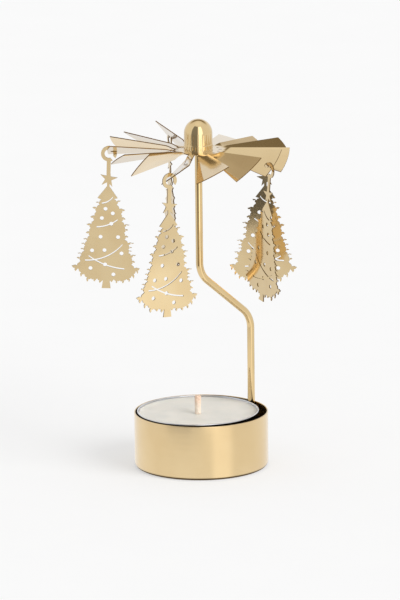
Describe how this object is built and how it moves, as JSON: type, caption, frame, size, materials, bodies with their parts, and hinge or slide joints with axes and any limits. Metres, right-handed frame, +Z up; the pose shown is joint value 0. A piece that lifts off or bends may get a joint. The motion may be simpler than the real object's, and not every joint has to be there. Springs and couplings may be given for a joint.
{
  "type": "angel chime carousel",
  "caption": "Candle-driven carousel: a tealight cup with a bent wire stem, a bladed disc turning on the wire's point, and sheet fir tree charms hooked through its blades.",
  "frame": {"origin": "centre of the cup's flat underside, on the rotor's axis", "axes": "+Z up along the rotor's axis; the front faces -Y, +X to its right"},
  "size_m": [0.0705, 0.0682, 0.111],
  "materials": {
    "cup_brass": "satin",
    "wire_brass": "polished",
    "braze": "rough",
    "aluminium_foil": "satin",
    "wax": "waxy",
    "wick": "waxed",
    "tab_steel": "plain",
    "sheet_brass": "polished",
    "dome_brass": "polished",
    "charm_brass": "satin"
  },
  "bodies": {
    "holder": {"candle_cup": "cup_brass", "wire_stem": "wire_brass", "stem_weld": "braze"},
    "tealight": {"tealight_shell": "aluminium_foil", "tealight_wax": "wax", "tealight_wick": "wick", "wick_tab": "tab_steel"},
    "rotor": {"blade_disc": "sheet_brass", "hub_cap": "dome_brass"},
    "tree_charm_1": {"tree_charm_1": "charm_brass"},
    "tree_charm_2": {"tree_charm_2": "charm_brass"},
    "tree_charm_3": {"tree_charm_3": "charm_brass"},
    "tree_charm_4": {"tree_charm_4": "charm_brass"},
    "tree_charm_5": {"tree_charm_5": "charm_brass"}
  },
  "joints": [
    {"name": "rotor_spin", "type": "hinge", "parent": "holder", "child": "rotor", "pos_m": [0, 0, 0.1106], "axis": [0, 0, 1], "continuous": true},
    {"name": "tealight_lift", "type": "slide", "parent": "holder", "child": "tealight", "axis": [0, 0, 1], "range_m": [0, 0.022]},
    {"name": "tree_charm_1_swing", "type": "hinge", "parent": "rotor", "child": "tree_charm_1", "pos_m": [-0.00903, 0.02618, 0.09902], "axis": [0.9659, 0.2588, 0], "range_deg": [-15, 45]},
    {"name": "tree_charm_2_swing", "type": "hinge", "parent": "rotor", "child": "tree_charm_2", "pos_m": [0.02134, 0.01661, 0.09614], "axis": [-0.1219, -0.9925, 0], "range_deg": [-15, 45]},
    {"name": "tree_charm_3_swing", "type": "hinge", "parent": "rotor", "child": "tree_charm_3", "pos_m": [0.02206, -0.01619, 0.09798], "axis": [-0.866, -0.5, 0], "range_deg": [-15, 45]},
    {"name": "tree_charm_4_swing", "type": "hinge", "parent": "rotor", "child": "tree_charm_4", "pos_m": [-0.00898, -0.02562, 0.09707], "axis": [-0.4695, 0.8829, 0], "range_deg": [-15, 45]},
    {"name": "tree_charm_5_swing", "type": "hinge", "parent": "rotor", "child": "tree_charm_5", "pos_m": [-0.02783, -0.00023, 0.10027], "axis": [0, 1, 0], "range_deg": [-15, 45]}
  ]
}
